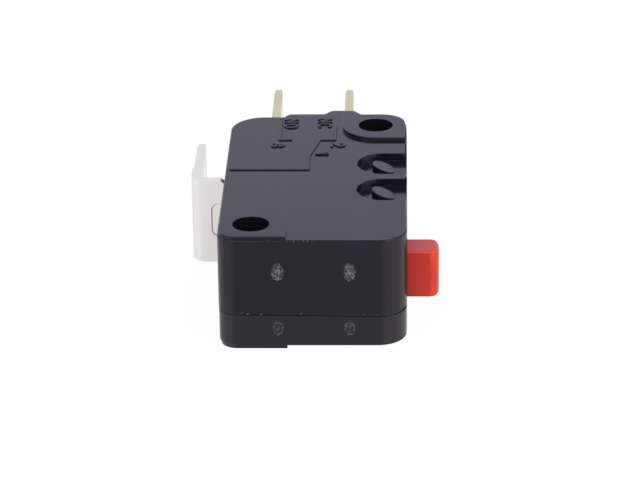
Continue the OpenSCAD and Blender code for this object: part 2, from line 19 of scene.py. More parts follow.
import bmesh
import bpy
import numpy as np
from mathutils import Matrix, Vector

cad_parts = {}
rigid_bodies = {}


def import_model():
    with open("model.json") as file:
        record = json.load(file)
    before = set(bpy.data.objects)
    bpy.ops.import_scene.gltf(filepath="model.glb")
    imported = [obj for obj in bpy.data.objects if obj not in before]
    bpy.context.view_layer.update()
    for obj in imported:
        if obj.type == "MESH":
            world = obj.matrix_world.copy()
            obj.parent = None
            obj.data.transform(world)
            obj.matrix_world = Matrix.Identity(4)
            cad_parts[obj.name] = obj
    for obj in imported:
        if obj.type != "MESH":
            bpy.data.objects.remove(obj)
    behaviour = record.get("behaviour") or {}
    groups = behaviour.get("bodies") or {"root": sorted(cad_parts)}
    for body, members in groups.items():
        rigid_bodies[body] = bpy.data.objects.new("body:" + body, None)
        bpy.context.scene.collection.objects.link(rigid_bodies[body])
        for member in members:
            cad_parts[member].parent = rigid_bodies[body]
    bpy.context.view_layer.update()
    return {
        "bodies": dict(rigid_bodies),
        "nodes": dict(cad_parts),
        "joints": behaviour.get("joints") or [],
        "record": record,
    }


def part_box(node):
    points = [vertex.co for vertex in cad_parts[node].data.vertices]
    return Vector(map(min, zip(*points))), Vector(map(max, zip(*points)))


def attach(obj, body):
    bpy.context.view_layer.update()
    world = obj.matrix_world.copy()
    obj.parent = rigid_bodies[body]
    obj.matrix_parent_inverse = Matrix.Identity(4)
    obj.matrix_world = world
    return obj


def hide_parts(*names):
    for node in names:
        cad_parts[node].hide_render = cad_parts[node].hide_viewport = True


MM = 0.001
PAD_RISE = 0.3 * MM
MERGE_DISTANCE = 0.0002 * MM
SHORTEST_EDGE = 0.03 * MM
FLAT_ANGLE = math.radians(0.2)
SHARP_ANGLE = math.radians(40.0)
CROWDED_ANGLE = math.radians(40.0)
MOST_AT_A_VERTEX = 6
EDGE_SEGMENTS = 2
FLAT_FACE_WEIGHT = 100
SHARE_NAME = "share"
NOISE_MIDDLE = 0.5

Colour = tuple[float, float, float]
Place = tuple[float, float, float]
Point2 = tuple[float, float]
Arrays = tuple[np.ndarray, np.ndarray]
Frame = dict[str, Any]

log = logging.getLogger("micro_switch")


class Body(str, Enum):
    """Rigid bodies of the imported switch."""

    BASE = "base"
    PLUNGER = "plunger"
    BLADE = "blade"


class Slot(str, Enum):
    """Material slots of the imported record."""

    CASE = "case_plastic"
    COVER = "cover_plastic"
    PLUNGER = "plunger_plastic"
    SILVERED = "silvered_metal"
    BRASS = "tab_brass"
    BRONZE = "blade_bronze"
    CONTACT = "contact_silver"


class Axis(Enum):
    """Axes of the frame, as places in a vector."""

    X = 0
    Y = 1
    Z = 2


class Ray(Enum):
    """Kinds of rays that a material can tell apart, by their sockets' names."""

    CAMERA = "Is Camera Ray"
    MIRRORED = "Is Glossy Ray"
    CLEAR = "Is Transmission Ray"


class Detail(Enum):
    """How many layers of finer features a noise has."""

    SMOOTH = 0.0
    SOFT = 1.0
    PLAIN = 2.0
    BROKEN = 3.0


class Value:
    """A number or colour on its way through a shader, which can be reckoned with like a number."""

    def __init__(self, graph: Graph, socket: bpy.types.NodeSocket) -> None:
        """Wraps one output socket of a graph's node."""
        self.graph = graph
        self.socket = socket

    def _math(self, operation: str, first: Input, second: Input = 0.0) -> Value:
        """One Math node on two values."""
        return self.graph.add("ShaderNodeMath", {"operation": operation}, {0: first, 1: second})

    def __add__(self, other: Input) -> Value:
        """Sum of two values."""
        return self._math("ADD", self, other)

    def __radd__(self, other: Input) -> Value:
        """Sum with a plain number first."""
        return self._math("ADD", other, self)

    def __sub__(self, other: Input) -> Value:
        """Difference of two values."""
        return self._math("SUBTRACT", self, other)

    def __rsub__(self, other: Input) -> Value:
        """Difference from a plain number."""
        return self._math("SUBTRACT", other, self)

    def __mul__(self, other: Input) -> Value:
        """Product of two values."""
        return self._math("MULTIPLY", self, other)

    def __rmul__(self, other: Input) -> Value:
        """Product with a plain number first."""
        return self._math("MULTIPLY", other, self)

    def __lt__(self, other: Input) -> Value:
        """1 where this value is the lesser, and 0 elsewhere."""
        return self._math("LESS_THAN", self, other)

    def __abs__(self) -> Value:
        """Size of the value without its sign."""
        return self._math("ABSOLUTE", self)

    def at_most_one(self) -> Value:
        """The value, or 1 where it is greater."""
        return self._math("MINIMUM", self, 1.0)

    def ramp(self, low: float, high: float) -> Value:
        """Smooth rise from 0 at low to 1 at high."""
        settings = {"interpolation_type": "SMOOTHSTEP"}
        return self.graph.add("ShaderNodeMapRange", settings, {"Value": self, 1: low, 2: high})


Input = Union[Value, float, tuple[float, ...]]


class Graph:
    """The node tree of one material or of the world."""

    def __init__(self, tree: bpy.types.NodeTree) -> None:
        """Empties the tree, ready for new nodes."""
        self.tree = tree
        tree.nodes.clear()

    def node(
        self,
        kind: str,
        settings: dict[str, Any] | None = None,
        inputs: dict[str | int, Input] | None = None,
    ) -> bpy.types.Node:
        """Adds any node, sets it up and links what feeds it.

        Args:
            kind: The node's type.
            settings: The node's own settings, which are set first.
            inputs: Numbers, colours or values for its sockets.

        Returns:
            The node.
        """
        node = self.tree.nodes.new(kind)
        for name, setting in (settings or {}).items():
            setattr(node, name, setting)
        for name, value in (inputs or {}).items():
            if isinstance(value, Value):
                self.tree.links.new(value.socket, node.inputs[name])
            else:
                node.inputs[name].default_value = value
        return node

    def add(
        self,
        kind: str,
        settings: dict[str, Any] | None = None,
        inputs: dict[str | int, Input] | None = None,
        output: str | int = 0,
    ) -> Value:
        """Adds a node like node() and hands back the value on one of its outputs."""
        return Value(self, self.node(kind, settings, inputs).outputs[output])

    def place(self) -> Value:
        """Object coordinates."""
        return self.add("ShaderNodeTexCoord", output="Object")

    def normal(self) -> Value:
        """Direction in which the surface looks."""
        return self.add("ShaderNodeTexCoord", output="Normal")

    def ray(self, kind: Ray) -> Value:
        """1 for rays of one kind, and 0 for others."""
        return self.add("ShaderNodeLightPath", output=kind.value)

    def stretched(self, vector: Value, scale: Place) -> Value:
        """A vector with each component scaled by its own number."""
        return self.add("ShaderNodeMapping", inputs={"Vector": vector, "Scale": scale})

    def part(self, vector: Value, axis: Axis) -> Value:
        """One component of a vector."""
        return self.add("ShaderNodeSeparateXYZ", inputs={0: vector}, output=axis.value)

    def noise(self, vector: Value, size: float, detail: Detail = Detail.PLAIN) -> Value:
        """Cloudy noise from 0 to 1 with features of the given size in metres."""
        inputs = {"Vector": vector, "Scale": 1.0 / size, "Detail": detail.value}
        return self.add("ShaderNodeTexNoise", inputs=inputs)

    def blend(self, factor: Input, first: Input, second: Input) -> Value:
        """Colour that goes from the first to the second as the factor goes from 0 to 1."""
        inputs = {0: factor, 6: rgba(first), 7: rgba(second)}
        return self.add("ShaderNodeMix", {"data_type": "RGBA"}, inputs, output=2)

    def bump(self, height: Value, depth: float) -> Value:
        """Normals of a surface that rises and falls by depth metres with the height value."""
        return self.add("ShaderNodeBump", inputs={"Strength": 1.0, "Distance": depth, "Height": height})

    def surface(self, inputs: dict[str | int, Input]) -> None:
        """Ends the tree in a Principled surface."""
        shader = self.add("ShaderNodeBsdfPrincipled", inputs=inputs)
        self.node("ShaderNodeOutputMaterial", inputs={"Surface": shader})


def rgba(colour: Input) -> Input:
    """A colour with its alpha; a value stays as it is."""
    return colour if isinstance(colour, Value) else (*colour, 1.0)


def new_graph(name: str) -> tuple[bpy.types.Material, Graph]:
    """Makes a new material.

    Args:
        name: Name of the material.

    Returns:
        The material and its empty node tree.
    """
    material = bpy.data.materials.new(name)
    material.use_nodes = True
    return material, Graph(material.node_tree)


class Finish(Protocol):
    """Anything that can make the material of a surface."""

    def material(self) -> bpy.types.Material:
        """Makes the material."""


@dataclass(frozen=True)
class Rim:
    """An edge along X on which dust and tiny chips gather, as its place in Y and Z."""

    y: float
    z: float
    reach: float = 0.16 * MM


@dataclass(frozen=True)
class MouldedPlastic:
    """Moulded plastic with a fine matt grain, faint cloudy patches and specks along its rims."""

    name: str
    colour: Colour
    patch_colour: Colour
    specular: float
    sheen_tint: Colour = (1.0, 1.0, 1.0)
    roughness: float = 0.16
    wall_dulling: float = 0.0
    wall_limits: Point2 = (0.5, 0.9)
    wall_turn: Point2 = (-0.6, -0.2)
    patch_size: float = 5.0 * MM
    patch_limits: Point2 = (0.35, 0.7)
    patch_gloss: float = 0.06
    grain_size: float = 0.10 * MM
    grain_depth: float = 0.0012 * MM
    grain_gloss: float = 0.10
    rims: tuple[Rim, ...] = ()
    speck_colour: Colour = (0.45, 0.45, 0.47)
    speck_size: float = 0.13 * MM
    speck_limits: Point2 = (0.69, 0.72)
    group_size: float = 2.2 * MM
    group_limits: Point2 = (0.50, 0.60)
    # Painted highlight on rounded corners: its colour, the normal parts that find the corners, the mask's
    # limits and where it fades along Y.
    corner_highlight_colour: Colour | None = None
    corner_shares: tuple[tuple[Axis, Axis, float], ...] = ((Axis.X, Axis.Y, 1.0),)
    corner_limits: Point2 = (0.05, 0.7)
    corner_fade: Point2 | None = None

    def material(self) -> bpy.types.Material:
        """Makes the plastic: grain in the bump, patches in colour and gloss, specks where rims catch dust.

        Rounded corners may get a painted highlight, a lighter colour that stands in for the light they
        catch, and steep walls may have less gloss.

        Returns:
            The material.
        """
        material, graph = new_graph(self.name)
        spot = graph.place()
        patches = graph.noise(spot, self.patch_size, Detail.BROKEN).ramp(*self.patch_limits)
        grain = graph.noise(spot, self.grain_size)
        colour = graph.blend(patches, self.colour, self.patch_colour)
        # Painted highlight: rounded corners are blended towards a lighter colour that stands in for the
        # light they catch.
        if self.corner_highlight_colour:
            colour = graph.blend(self._corner_highlights(graph), colour, self.corner_highlight_colour)
        if self.rims:
            colour = graph.blend(self._specks(graph), colour, self.speck_colour)
        roughness = self.roughness - self.patch_gloss * patches + self.grain_gloss * (grain - NOISE_MIDDLE)
        if self.wall_dulling:
            roughness = roughness + self.wall_dulling * self._walls(graph)
        graph.surface(
            {
                "Base Color": colour,
                "Roughness": roughness,
                "Normal": graph.bump(grain, self.grain_depth),
                "Specular IOR Level": self.specular,
                "Specular Tint": rgba(self.sheen_tint),
            }
        )
        return material

    def _walls(self, graph: Graph) -> Value:
        """Finds the steep walls, apart from those that look along -X.

        Args:
            graph: The plastic's node tree.

        Returns:
            The mask of the walls.
        """
        normal = graph.normal()
        level = graph.part(normal, Axis.Z).ramp(*self.wall_limits)
        return (1.0 - level) * graph.part(normal, Axis.X).ramp(*self.wall_turn)

    def _corner_highlights(self, graph: Graph) -> Value:
        """Finds the rounded corners that carry the painted highlight, by products of two parts of the
        normal, which peak at 45 degrees.

        Args:
            graph: The plastic's node tree.

        Returns:
            The mask of the painted corner highlight, which fades out along Y where the finish says so.
        """
        normal = graph.normal()
        mask: Input = 0.0
        for first, second, share in self.corner_shares:
            slant = 2.0 * abs(graph.part(normal, first) * graph.part(normal, second))
            mask = mask + share * slant.ramp(*self.corner_limits)
        if self.corner_fade:
            mask = mask * (1.0 - graph.part(graph.place(), Axis.Y).ramp(*self.corner_fade))
        return mask.at_most_one()

    def _specks(self, graph: Graph) -> Value:
        """Finds the specks: noise above a level, in loose groups close to one of the rims.

        Args:
            graph: The plastic's node tree.

        Returns:
            The mask of the specks.
        """
        spot = graph.place()
        y = graph.part(spot, Axis.Y)
        z = graph.part(spot, Axis.Z)
        near: Input = 0.0
        for rim in self.rims:
            dy = y - rim.y
            dz = z - rim.z
            near = near + (dy * dy + dz * dz < rim.reach**2)
        flecks = graph.noise(spot, self.speck_size, Detail.SOFT).ramp(*self.speck_limits)
        groups = graph.noise(spot, self.group_size, Detail.SMOOTH).ramp(*self.group_limits)
        return near.at_most_one() * flecks * groups


CASE_BLACK = MouldedPlastic(
    "case_black",
    colour=(0.0085, 0.0082, 0.0115),
    patch_colour=(0.0100, 0.0098, 0.0145),
    specular=0.215,
    sheen_tint=(0.90, 0.90, 1.0),
)


@dataclass(frozen=True)
class RolledMetal:
    """Bright rolled sheet with faint streaks along Y and rougher sheared edges."""

    name: str
    colour: Colour
    edge_colour: Colour
    roughness: float
    bend_colour: Colour | None = None
    bend_limits: Point2 = (0.5, 1.0)
    bend_dulling: float = 0.42
    sheared_limits: Point2 = (0.6, 0.9)
    sheared_roughness: float = 0.36
    pressed_limits: Point2 = (0.3, 0.5)
    cloud_size: float = 1.5 * MM
    cloud_share: float = 0.4
    streak_width: float = 0.05 * MM
    streak_length: float = 2.5 * MM
    streak_depth: float = 0.0006 * MM
    streak_gloss: float = 0.08

    def material(self) -> bpy.types.Material:
        """Makes the metal: streaks in gloss and bump, and a duller colour on the sheared edges along Z.

        Bends, at a slant between X and Y, have less gloss. Faces at the slant that a pressing tool leaves,
        between Y and either +X or Z, are matt.

        Returns:
            The material.
        """
        material, graph = new_graph(self.name)
        spot = graph.place()
        stretch = (1.0, self.streak_width / self.streak_length, 1.0)
        streaks = graph.noise(graph.stretched(spot, stretch), self.streak_width)
        clouds = graph.noise(spot, self.cloud_size)
        normal = graph.normal()
        x, y, z = (graph.part(normal, axis) for axis in Axis)
        sheared = abs(z).ramp(*self.sheared_limits)
        bent = (2.0 * abs(x * y)).ramp(*self.bend_limits)
        slanted = x.ramp(*self.pressed_limits) + abs(z).ramp(*self.pressed_limits)
        pressed = abs(y).ramp(*self.pressed_limits) * slanted.at_most_one()
        cloudy = 1.0 - self.cloud_share + self.cloud_share * clouds
        colour = graph.blend(bent, self.colour, self.bend_colour or self.colour)
        colour = graph.blend(sheared * cloudy, colour, self.edge_colour)
        roughness = self.roughness + self.streak_gloss * (streaks - NOISE_MIDDLE)
        roughness = roughness + (self.sheared_roughness - self.roughness) * sheared
        roughness = roughness + self.bend_dulling * bent
        graph.surface(
            {
                "Base Color": colour,
                "Metallic": 1.0 - pressed,
                "Roughness": roughness,
                "Normal": graph.bump(streaks, self.streak_depth),
            }
        )
        return material


@dataclass(frozen=True)
class MottledMark:
    """Rough pale patch that a mould leaves, broken up by dark flecks, with a paler ring and a paler core."""

    name: str
    pale: Colour
    cover: float
    ring: float = 0.0
    core: float = 0.0
    dark_share: float = 0.16
    fleck_size: float = 0.17 * MM
    fine_size: float = 0.17 / 3.0 * MM
    fleck_limits: Point2 = (0.62, 0.72)
    fleck_depth: float = 0.006 * MM
    coarse_share: float = 0.7
    ring_inside: Point2 = (0.60, 0.75)
    ring_outside: Point2 = (0.82, 0.92)
    core_limits: Point2 = (0.10, 0.55)
    rim_limits: Point2 = (0.90, 1.0)
    roughness: float = 0.55
    pale_dulling: float = 0.3
    specular: float = 0.3

    def material(self) -> bpy.types.Material:
        """Makes the patch: flecks of two sizes, the ring and the core decide between the pale and the dark.

        The mesh tells how far a point lies from the middle, as a share of the way to the rim, and the
        outermost part stays dark.

        Returns:
            The material.
        """
        material, graph = new_graph(self.name)
        spot = graph.place()
        share = graph.add("ShaderNodeAttribute", {"attribute_name": SHARE_NAME}, output="Fac")
        coarse = graph.noise(spot, self.fleck_size, Detail.BROKEN)
        fine = graph.noise(spot, self.fine_size)
        ring = share.ramp(*self.ring_inside) * (1.0 - share.ramp(*self.ring_outside))
        core = 1.0 - share.ramp(*self.core_limits)
        flecks = self.coarse_share * coarse + (1.0 - self.coarse_share) * fine
        level = flecks + self.ring * ring + self.core * core
        limits = (limit - self.cover for limit in self.fleck_limits)
        pale = level.ramp(*limits) * (1.0 - share.ramp(*self.rim_limits))
        dark: Colour = tuple(self.dark_share * part for part in self.pale)
        graph.surface(
            {
                "Base Color": graph.blend(pale, dark, self.pale),
                "Roughness": self.roughness + self.pale_dulling * pale,
                "Normal": graph.bump(fine, self.fleck_depth),
                "Specular IOR Level": self.specular,
            }
        )
        return material


def new_object(name: str, vertices: np.ndarray, faces: np.ndarray) -> bpy.types.Object:
    """Puts arrays of vertices and faces into a new mesh object at the origin.

    Args:
        name: Name of the piece.
        vertices: One row of three coordinates for each vertex.
        faces: One row of vertex numbers for each face.

    Returns:
        The object, linked to the scene.
    """
    mesh = bpy.data.meshes.new(name)
    mesh.from_pydata(vertices.tolist(), [], faces.tolist())
    mesh.update()
    thing = bpy.data.objects.new(name, mesh)
    bpy.context.scene.collection.objects.link(thing)
    return thing


def ring_faces(rings: int, points: int) -> np.ndarray:
    """Quads between neighbouring rings of points that are numbered ring by ring.

    A quad joins two neighbouring points of one ring to the same two of the next ring, and the last point
    of a ring has the first one as its neighbour.

    Args:
        rings: Number of rings.
        points: Number of points in a ring.

    Returns:
        One row of four vertex numbers for each quad.
    """
    ring = points * np.arange(rings - 1)[:, None]
    next_ring = ring + points
    point = np.arange(points)[None, :]
    next_point = (point + 1) % points
    corners = (ring + point, ring + next_point, next_ring + next_point, next_ring + point)
    return np.stack(corners, axis=-1).reshape(-1, 4)


def joined(parts: list[Arrays]) -> Arrays:
    """Joins several meshes' arrays, with each mesh's vertex numbers moved up past those before it.

    Args:
        parts: The vertices and faces of each mesh.

    Returns:
        The vertices and faces of one mesh.
    """
    starts = np.cumsum([0] + [len(vertices) for vertices, _ in parts[:-1]])
    vertices = np.vstack([vertices for vertices, _ in parts])
    faces = np.vstack([faces + start for start, (_, faces) in zip(starts, parts)])
    return vertices, faces


def close_up(thing: bpy.types.Object) -> None:
    """Merges the doubled points of a mesh, drops what has no area and turns its faces outwards.

    Args:
        thing: The object with the mesh.
    """
    shape = bmesh.new()
    shape.from_mesh(thing.data)
    bmesh.ops.remove_doubles(shape, verts=shape.verts, dist=MERGE_DISTANCE)
    bmesh.ops.dissolve_degenerate(shape, edges=shape.edges, dist=MERGE_DISTANCE)
    bmesh.ops.recalc_face_normals(shape, faces=shape.faces)
    shape.to_mesh(thing.data)
    shape.free()


def read_array(items: Any, name: str, width: int, kind: type) -> np.ndarray:
    """Reads one attribute of all items of a mesh.

    Args:
        items: The mesh's vertices, edges, corners or faces.
        name: Name of the attribute.
        width: How many numbers each item has.
        kind: Type of the numbers.

    Returns:
        One row for each item, or one number if the width is 1.
    """
    values = np.empty(len(items) * width, dtype=kind)
    items.foreach_get(name, values)
    return values.reshape(-1, width) if width > 1 else values


def edge_lengths(mesh: bpy.types.Mesh) -> np.ndarray:
    """Measures the edges of a mesh.

    Args:
        mesh: The mesh.

    Returns:
        One length for each edge.
    """
    points = read_array(mesh.vertices, "co", 3, np.float32)
    ends = read_array(mesh.edges, "vertices", 2, np.int32)
    return np.linalg.norm(points[ends[:, 1]] - points[ends[:, 0]], axis=1)


def sharp_edges(mesh: bpy.types.Mesh) -> np.ndarray:
    """Marks the edges whose two faces meet at more than the sharp angle.

    The face corners are sorted by edge, so that the two faces of an edge stand side by side, and their
    normals are compared.

    Args:
        mesh: The mesh.

    Returns:
        One true or false value for each edge.
    """
    corner_edge = read_array(mesh.loops, "edge_index", 1, np.int32)
    corners = read_array(mesh.polygons, "loop_total", 1, np.int32)
    normals = read_array(mesh.polygons, "normal", 3, np.float32)
    faces = np.repeat(np.arange(len(corners)), corners)[np.argsort(corner_edge, kind="stable")]
    count = np.bincount(corner_edge, minlength=len(mesh.edges))
    first = np.cumsum(count) - count
    second = np.minimum(first + 1, len(faces) - 1)
    likeness = np.sum(normals[faces[first]] * normals[faces[second]], axis=1)
    return (count == 2) & (likeness < math.cos(SHARP_ANGLE))


def crowded_edges(mesh: bpy.types.Mesh, sharp: np.ndarray) -> np.ndarray:
    """Marks the sharp edges that leave a vertex in nearly the same direction as another one.

    The ends of the sharp edges are sorted by vertex, and each one's direction is compared with its next few
    neighbours in that order.

    Args:
        mesh: The mesh.
        sharp: Which of its edges are sharp.

    Returns:
        One true or false value for each edge.
    """
    points = read_array(mesh.vertices, "co", 3, np.float32)
    ends = read_array(mesh.edges, "vertices", 2, np.int32)[sharp]
    along = points[ends[:, 1]] - points[ends[:, 0]]
    along /= np.linalg.norm(along, axis=1, keepdims=True)
    vertex = ends.T.ravel()
    order = np.argsort(vertex, kind="stable")
    vertex = vertex[order]
    direction = np.vstack((along, -along))[order]
    edge = np.tile(np.flatnonzero(sharp), 2)[order]
    crowded = np.zeros(len(mesh.edges), dtype=bool)
    for shift in range(1, MOST_AT_A_VERTEX):
        likeness = np.sum(direction[:-shift] * direction[shift:], axis=1)
        close = (vertex[:-shift] == vertex[shift:]) & (likeness > math.cos(CROWDED_ANGLE))
        crowded[edge[:-shift][close]] = True
        crowded[edge[shift:][close]] = True
    return crowded


@dataclass
class DressedSolid:
    """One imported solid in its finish, with its sharp edges rounded."""

    node: str
    body: Body
    slot: Slot
    finish: Finish
    edge: float

    def build(self, frame: Frame) -> None:
        """Makes the rounded copy that stands for the solid and rides on its body.

        Args:
            frame: The loaded frame.
        """
        thing = self._merged_copy(frame["nodes"][self.node])
        bevel = thing.modifiers.new("edges", "BEVEL")
        bevel.width = self.edge
        bevel.segments = EDGE_SEGMENTS
        bevel.limit_method = "WEIGHT"
        bevel.use_clamp_overlap = False
        bevel.miter_outer = "MITER_ARC"
        normals = thing.modifiers.new("normals", "WEIGHTED_NORMAL")
        normals.keep_sharp = False
        normals.weight = FLAT_FACE_WEIGHT
        thing.data.materials.append(self.finish.material())
        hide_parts(self.node)
        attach(thing, self.body.value)
        log.info("dressed %s", self.node)

    def _merged_copy(self, solid: bpy.types.Object) -> bpy.types.Object:
        """Copies the solid, merges its loose triangles and weights the edges that are to be rounded.

        Args:
            solid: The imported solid.

        Returns:
            The copy, with its flat faces made whole.
        """
        shape = bmesh.new()
        shape.from_mesh(solid.data)
        bmesh.ops.remove_doubles(shape, verts=shape.verts, dist=MERGE_DISTANCE)
        bmesh.ops.dissolve_limit(shape, angle_limit=FLAT_ANGLE, verts=shape.verts, edges=shape.edges)
        mesh = bpy.data.meshes.new(f"{self.node}_dressed")
        shape.to_mesh(mesh)
        shape.free()
        mesh.polygons.foreach_set("use_smooth", np.ones(len(mesh.polygons), dtype=bool))
        sharp = sharp_edges(mesh) & (edge_lengths(mesh) > SHORTEST_EDGE)
        rounded = sharp & ~crowded_edges(mesh, sharp)
        weights = mesh.attributes.new("bevel_weight_edge", "FLOAT", "EDGE")
        weights.data.foreach_set("value", rounded.astype(np.float32))
        thing = bpy.data.objects.new(mesh.name, mesh)
        bpy.context.scene.collection.objects.link(thing)
        return thing


@dataclass
class GateMark:
    """Rough oval left where the mould was fed, on the face that looks along -Y."""

    name: str
    centre: Point2
    size: Point2
    finish: MottledMark
    slot: Slot
    seed: int
    rise: float = 0.012 * MM
    sink: float = 0.002 * MM
    rim_waves: tuple[Point2, Point2] = ((3.0, 0.05), (7.0, 0.04))
    pit_waves: tuple[Point2, Point2] = ((9.0, 4.0), (14.0, -3.0))
    pit_depth: float = 0.5
    flatness: int = 8
    rings: int = 14
    spokes: int = 48

    def build(self, face_y: float) -> None:
        """Makes the mark: rings round its middle, with a wavy rim and a pitted face.

        The rim's radius is 1 plus two sine waves round the mark, each with its count and height. The face
        stands out by the rise, changed by the product of two spiral waves, each with its turns across and
        round the mark. Towards the rim it falls with a high power of the share, to below the carrying face.

        Args:
            face_y: Where the face lies that carries the mark.
        """
        share = np.linspace(0.0, 1.0, self.rings)[:, None]
        angle = np.linspace(0.0, 2.0 * np.pi, self.spokes, endpoint=False)[None, :]
        phase = np.random.default_rng(self.seed).uniform(0.0, 2.0 * np.pi, 4)
        rim = np.ones_like(angle)
        for (count, height), start in zip(self.rim_waves, phase[:2]):
            rim = rim + height * np.sin(count * angle + start)
        pits = np.ones_like(share)
        for (across, around), start in zip(self.pit_waves, phase[2:]):
            pits = pits * np.sin(across * share + around * angle + start)
        x = self.centre[0] + 0.5 * self.size[0] * share * rim * np.cos(angle)
        z = self.centre[1] + 0.5 * self.size[1] * share * rim * np.sin(angle)
        lift = self.rise * (1.0 + self.pit_depth * pits) * (1.0 - share**self.flatness) - self.sink
        vertices = np.stack((x, face_y - lift, z), axis=-1).reshape(-1, 3)
        thing = new_object(self.name, vertices, ring_faces(self.rings, self.spokes))
        shares = thing.data.attributes.new(SHARE_NAME, "FLOAT", "POINT")
        shares.data.foreach_set("value", np.repeat(share.ravel(), self.spokes).astype(np.float32))
        close_up(thing)
        thing.data.materials.append(replace(self.finish, name=self.name).material())
        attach(thing, Body.BASE.value)
        log.info("added %s", self.name)


@dataclass
class Housing:
    """The moulded case and its cover, with the marks that their moulds left."""

    case_edge: float = 0.03 * MM
    cover_edge: float = 0.04 * MM
    cover_specular: float = 0.32
    # Painted sheen: a lighter colour on the rounded vertical corners stands in for the reflection they
    # catch, fading out between these distances from the face that looks along -Y.
    corner_sheen_colour: Colour = (0.0270, 0.0235, 0.0290)
    corner_sheen_reach: Point2 = (0.9 * MM, 1.9 * MM)
    mark_xs: Point2 = (2.26 * MM, 8.28 * MM)
    case_mark: MottledMark = MottledMark("case_gate_mark", (0.17, 0.17, 0.175), 0.13, core=0.06)
    case_mark_z: float = 7.13 * MM
    case_mark_size: Point2 = (1.06 * MM, 1.70 * MM)
    cover_mark: MottledMark = MottledMark(
        "cover_gate_mark", (0.095, 0.095, 0.10), 0.09, ring=0.09, core=0.06
    )
    cover_mark_z: float = 1.95 * MM
    cover_mark_size: Point2 = (1.0 * MM, 1.40 * MM)

    def build(self, frame: Frame) -> None:
        """Dresses both halves and adds two marks to each.

        Args:
            frame: The loaded frame.
        """
        case_low, case_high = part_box("case")
        cover_low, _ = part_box("cover")
        rims = (Rim(case_low[1], case_high[2] - PAD_RISE), Rim(case_low[1], case_low[2]))
        # Both halves get the painted corner sheen near the face that looks along -Y.
        fade = tuple(case_low[1] + reach for reach in self.corner_sheen_reach)
        corner_lit_black = replace(CASE_BLACK, corner_highlight_colour=self.corner_sheen_colour, corner_fade=fade)
        case = replace(corner_lit_black, rims=rims)
        cover = replace(
            corner_lit_black, name="cover_black", colour=CASE_BLACK.patch_colour, specular=self.cover_specular
        )
        DressedSolid("case", Body.BASE, Slot.CASE, case, self.case_edge).build(frame)
        DressedSolid("cover", Body.BASE, Slot.COVER, cover, self.cover_edge).build(frame)
        for number, x in enumerate(self.mark_xs, start=1):
            GateMark(
                name=f"case_gate_mark_{number}",
                centre=(x, self.case_mark_z),
                size=self.case_mark_size,
                finish=self.case_mark,
                slot=Slot.CASE,
                seed=number,
            ).build(case_low[1])
            GateMark(
                name=f"cover_gate_mark_{number}",
                centre=(x, self.cover_mark_z),
                size=self.cover_mark_size,
                finish=self.cover_mark,
                slot=Slot.COVER,
                seed=number + len(self.mark_xs),
            ).build(cover_low[1])


def arc(centre: Point2, radii: Point2, start: float, end: float, points: int = 17) -> np.ndarray:
    """Points along an ellipse's arc between two angles in degrees."""
    angle = np.radians(np.linspace(start, end, points))
    return np.array(centre) + np.array(radii) * np.stack((np.cos(angle), np.sin(angle)), axis=-1)


class Glyph(Enum):
    """Signs of the diagram."""

    ONE = "1"
    TWO = "2"
    THREE = "3"
    LETTER_N = "N"
    LETTER_O = "O"
    LETTER_C = "C"

    def strokes(self) -> list[np.ndarray]:
        """The sign's strokes in a box one unit high, where u runs along the line of writing and v up.

        Returns:
            For each stroke, one row of u and v for each of its points.
        """
        match self:
            case Glyph.ONE:
                return [np.array(((0.38, 0.86), (0.38, 0.04))), np.array(((0.16, 0.64), (0.32, 0.80)))]
            case Glyph.TWO:
                bowl = arc((0.32, 0.70), (0.32, 0.30), 165.0, -35.0)
                return [np.vstack((bowl, ((0.06, 0.06),))), np.array(((0.0, 0.0), (0.66, 0.0)))]
            case Glyph.THREE:
                return [
                    arc((0.30, 0.75), (0.30, 0.25), 150.0, -80.0),
                    arc((0.30, 0.26), (0.34, 0.26), 80.0, -150.0),
                ]
            case Glyph.LETTER_N:
                posts = [np.array(((u, 0.0), (u, 1.0))) for u in (0.0, 0.62)]
                return [*posts, np.array(((0.06, 0.92), (0.56, 0.08)))]
            case Glyph.LETTER_O:
                return [arc((0.36, 0.5), (0.36, 0.5), 90.0, 450.0, 33)]
        return [arc((0.38, 0.5), (0.38, 0.5), 50.0, 310.0, 25)]


@dataclass(frozen=True)
class RaisedLine:
    """A moulded ridge along a path on a level face: flat on top, with slightly drafted sides."""

    width: float = 0.22 * MM
    height: float = 0.10 * MM
    draft: float = 0.05 * MM
    sink: float = 0.01 * MM

    def arrays(self, path: np.ndarray, face_z: float) -> Arrays:
        """The ridge's profile carried along the path, with mitred corners and closed ends.

        The path is first lengthened by half a width at each end, and each profile is turned to the mean of
        its two neighbouring directions and stretched so that the sides stay parallel to the path.

        Args:
            path: Points of the path in X and Y.
            face_z: Height of the face that carries the ridge.

        Returns:
            The vertices and the quads.
        """
        half = 0.5 * self.width
        step = np.diff(path, axis=0)
        step /= np.linalg.norm(step, axis=1, keepdims=True)
        path = path.copy()
        closed = np.allclose(path[0], path[-1])
        if not closed:
            path[0] -= half * step[0]
            path[-1] += half * step[-1]
        before = np.vstack((step[-1:] if closed else step[:1], step))
        after = np.vstack((step, step[:1] if closed else step[-1:]))
        side_before = np.stack((-before[:, 1], before[:, 0]), axis=-1)
        side_after = np.stack((-after[:, 1], after[:, 0]), axis=-1)
        mitre = (side_before + side_after) / (1.0 + np.sum(side_before * side_after, axis=1, keepdims=True))
        offset = np.array((half + self.draft, half, -half, -half - self.draft))
        rise = np.array((-self.sink, self.height, self.height, -self.sink))
        xy = path[:, None, :] + offset[None, :, None] * mitre[:, None, :]
        z = np.broadcast_to(face_z + rise, xy.shape[:2])
        vertices = np.concatenate((xy, z[..., None]), axis=-1).reshape(-1, 3)
        faces = ring_faces(len(path), len(offset))
        if not closed:
            first = np.arange(len(offset))
            faces = np.vstack((faces, first, len(vertices) - 1 - first))
        return vertices, faces


